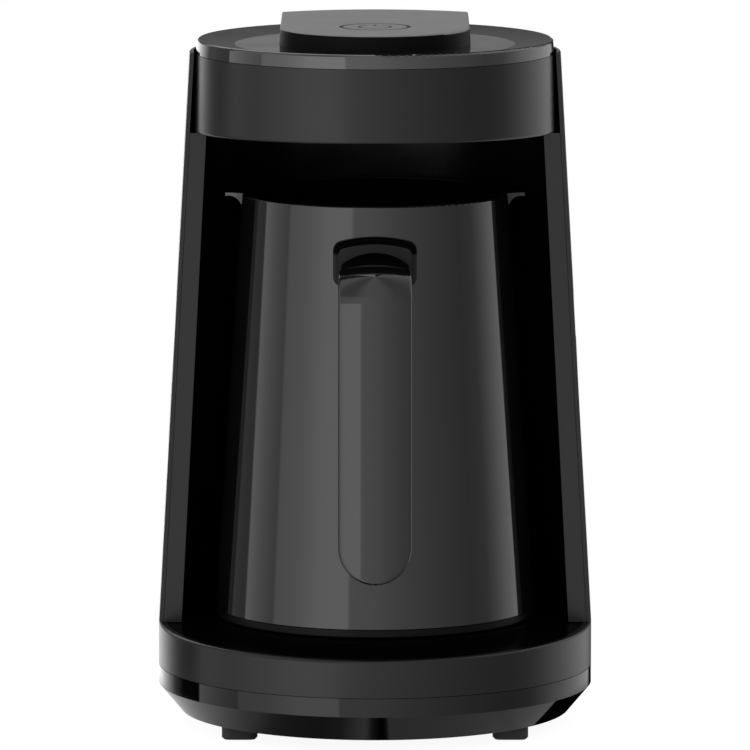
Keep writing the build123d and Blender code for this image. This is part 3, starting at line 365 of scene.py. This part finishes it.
def surface(name, color, rough, ior=1.5, metallic=0.0, bump=None, mottle=SLIGHT):
    """Principled material whose colour, roughness and bump vary over the object."""
    material = bpy.data.materials.new(name)
    t = Tree.empty(material)
    shader = t.add("ShaderNodeBsdfPrincipled", IOR=ior, Metallic=metallic)

    amount, scale = mottle
    darker = (*(channel * (1 - amount) for channel in color), 1)
    paler = (*(channel * (1 + amount) for channel in color), 1)
    mottled = t.mix(t.noise(scale, MOTTLE_DETAIL, MOTTLE_ROUGHNESS), darker, paler)
    t.set(shader, "Base Color", mottled)

    slow = t.noise(SLOW_SCALE, SLOW_DETAIL, SLOW_ROUGHNESS)
    low, high = SLOW_RANGE
    varied = t.add("ShaderNodeMapRange", i0=slow, i1=low, i2=high, i3=rough[0], i4=rough[1])
    t.set(shader, "Roughness", varied)

    if bump:
        scale, strength, depth = bump
        grain = t.noise(scale, GRAIN_DETAIL, GRAIN_ROUGHNESS)
        t.set(shader, "Normal", t.add("ShaderNodeBump", Strength=strength, Distance=depth, Height=grain))
    t.add("ShaderNodeOutputMaterial", Surface=shader)
    return material


# ---------------------------------------------------------------- painted areas
PLATE_BLACK = (0.003, 0.003, 0.003)
WALL_NORMAL = (0.2, 0.5)        # the plate turns from black to grey as its face turns upwards

BUTTON_Y = -0.021
MARK_RADIUS = 0.0058            # the mark's ring, at the middle of its line
GAP_SHADE_RADIUS = 0.0122         # painted shade of the gap round the button, a dark line just inside its edge
MARK_HALF_LINE = 0.0005
RING_HALF_GAP = 0.0022          # the ring's opening at the back
TICK_HALF_LENGTH = 0.0022

# painted reflection: the niche's front rims are paler, standing in for the studio they mirror
RIM_REFLECTION_GREY = (0.018, 0.018, 0.0184)
RIM_FACE_Y = (-0.0073, -0.0071)     # the niche's front rims lie in front of this

# painted reflection: the sleeve front and flange sides are paler where they mirror the studio; painted
# highlight on the crease
SLEEVE_REFLECTION_GREY = (0.03, 0.03, 0.0303)
SLEEVE_FRONT_Y = (-0.0588, -0.0585)     # the sleeve's front face lies in front of this
CREASE_HIGHLIGHT_Y = -0.05375             # painted highlight along where the sleeve's top meets the flange
CREASE_HIGHLIGHT_HALF = 0.0003
FLANGE_SIDE_Z = (0.179, 0.1805)     # the flange's sides carry a paler painted reflection below this

TRACK_GREEN = (0.05, 0.2, 0.08)
TRACKS = {"Scale": 1.0, "Brick Width": 0.009, "Row Height": 0.0022, "Mortar Size": 0.00025}


def paint_plate_walls(material):
    """Black walls round the grey top face of the control plate and the button."""
    t = Tree(material.node_tree)
    upwards = t.axes(t.add("ShaderNodeNewGeometry").outputs["Normal"])[2]
    t.paint(t.fall(upwards, *WALL_NORMAL), PLATE_BLACK)


def paint_button_mark_and_gap_shade(material):
    """The usual on-off mark, an open ring with a short line in its gap, and round it a thin dark line of
    painted shade for the gap at the button's edge.
    """
    t = Tree(material.node_tree)
    x, y = t.axes(t.place())[:2]
    along = t.calc("SUBTRACT", y, BUTTON_Y)
    radius = t.length(t.add("ShaderNodeCombineXYZ", X=x, Y=along))
    ring = t.within(t.calc("SUBTRACT", radius, MARK_RADIUS), MARK_HALF_LINE)
    gap = t.calc("MULTIPLY", t.rise(along, 0.0, LINE_SOFT), t.within(x, RING_HALF_GAP))
    ring = t.calc("MULTIPLY", ring, t.calc("SUBTRACT", 1.0, gap))
    tick_length = t.within(t.calc("SUBTRACT", along, MARK_RADIUS), TICK_HALF_LENGTH)
    tick = t.calc("MULTIPLY", t.within(x, MARK_HALF_LINE), tick_length)
    # painted shade: a thin dark ring just inside the button's edge, where the gap round it lies in shade
    gap_shade = t.within(t.calc("SUBTRACT", radius, GAP_SHADE_RADIUS), MARK_HALF_LINE)
    t.paint(t.calc("MAXIMUM", gap_shade, t.calc("MAXIMUM", ring, tick)), PLATE_BLACK)


def paint_niche_rim_reflection(material):
    """Painted reflection: the lining's two flat front rims are a shade paler, for the studio they
    mirror.
    """
    t = Tree(material.node_tree)
    y = t.axes(t.place())[1]
    # painted reflection on the front rims
    t.paint(t.fall(y, *RIM_FACE_Y), RIM_REFLECTION_GREY)


def paint_sleeve_reflections(material):
    """Painted reflection on the collar's sleeve front and the flange's lower sides, and a painted
    highlight along the crease, all a little paler.
    """
    t = Tree(material.node_tree)
    y, z = t.axes(t.place())[1:]
    front = t.fall(y, *SLEEVE_FRONT_Y)
    crease_highlight = t.within(t.calc("SUBTRACT", y, CREASE_HIGHLIGHT_Y), CREASE_HIGHLIGHT_HALF)
    low = t.fall(z, *FLANGE_SIDE_Z)
    # painted reflection and painted highlight, in one paler grey
    t.paint(t.calc("MAXIMUM", front, t.calc("MAXIMUM", crease_highlight, low)), SLEEVE_REFLECTION_GREY)


def paint_board_tracks(material):
    """Paler tracks show through the boards' lacquer."""
    t = Tree(material.node_tree)
    tracks = t.add("ShaderNodeTexBrick", Vector=t.place(), **TRACKS)
    t.paint(tracks.outputs["Fac"], TRACK_GREEN)


def make_materials():
    """Every finish of the table, with its painted areas."""
    materials = {}
    for name, (color, rough, others) in FINISHES.items():
        materials[name] = surface(name, color, rough, **others)
    paint_plate_walls(materials["plate_grey"])
    paint_plate_walls(materials["button_grey"])
    paint_button_mark_and_gap_shade(materials["button_grey"])
    paint_niche_rim_reflection(materials["niche_black"])
    paint_sleeve_reflections(materials["collar_black"])
    paint_board_tracks(materials["board"])
    return materials


def dress_nodes(materials):
    """Every CAD node takes its own finish or the one of its slot in the record."""
    for part in frame["record"]["subparts"]:
        finish = OWN_FINISHES.get(part["node"], part["material_slot"])
        slots = frame["nodes"][part["node"]].data.materials
        slots.clear()
        slots.append(materials[finish])


# ---------------------------------------------------------------- silicone dome under the button
# Profiles: radius in metres and share of the height
DOME_OUTSIDE = [
    (0.0100, 0.0), (0.0100, 0.16), (0.0096, 0.24), (0.0088, 0.36), (0.0079, 0.62), (0.0073, 0.85),
    (0.0070, 1.0),
]
DOME_INSIDE = [
    (0.0061, 1.0), (0.0064, 0.8), (0.0070, 0.55), (0.0079, 0.3), (0.0091, 0.12), (0.0091, 0.0),
]
DOME_SEGMENTS = 64


def turned(profile, foot_z, height):
    """Closed wall that follows a profile round the button's axis."""
    bm = bmesh.new()
    rings = []
    for radius, share in profile:
        ring = []
        for step in range(DOME_SEGMENTS):
            turn = math.tau * step / DOME_SEGMENTS
            x = radius * math.cos(turn)
            y = BUTTON_Y + radius * math.sin(turn)
            ring.append(bm.verts.new((x, y, foot_z + share * height)))
        rings.append(ring)
    for ring, following in zip(rings, rings[1:] + rings[:1]):
        for step in range(DOME_SEGMENTS):
            after = (step + 1) % DOME_SEGMENTS
            face = bm.faces.new((ring[step], ring[after], following[after], following[step]))
            face.smooth = True
    bmesh.ops.recalc_face_normals(bm, faces=bm.faces)
    return bm


def make_dome(material):
    """Thin dome whose foot rests on the lid; on the real part its wall folds when the button is pressed.
    """
    low, high = (Vector(corner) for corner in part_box("button_pad"))
    height = high.z - low.z
    dome = add_object("silicone_dome", turned(DOME_OUTSIDE + DOME_INSIDE, low.z, height), material)
    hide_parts("button_pad")
    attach(dome, "machine")
    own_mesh(dome)


# ---------------------------------------------------------------- the scene
make_camera()
make_studio()
make_floor()
materials = make_materials()
dress_nodes(materials)
make_dome(materials["silicone"])

scene = bpy.context.scene
scene.view_settings.view_transform = "Standard"
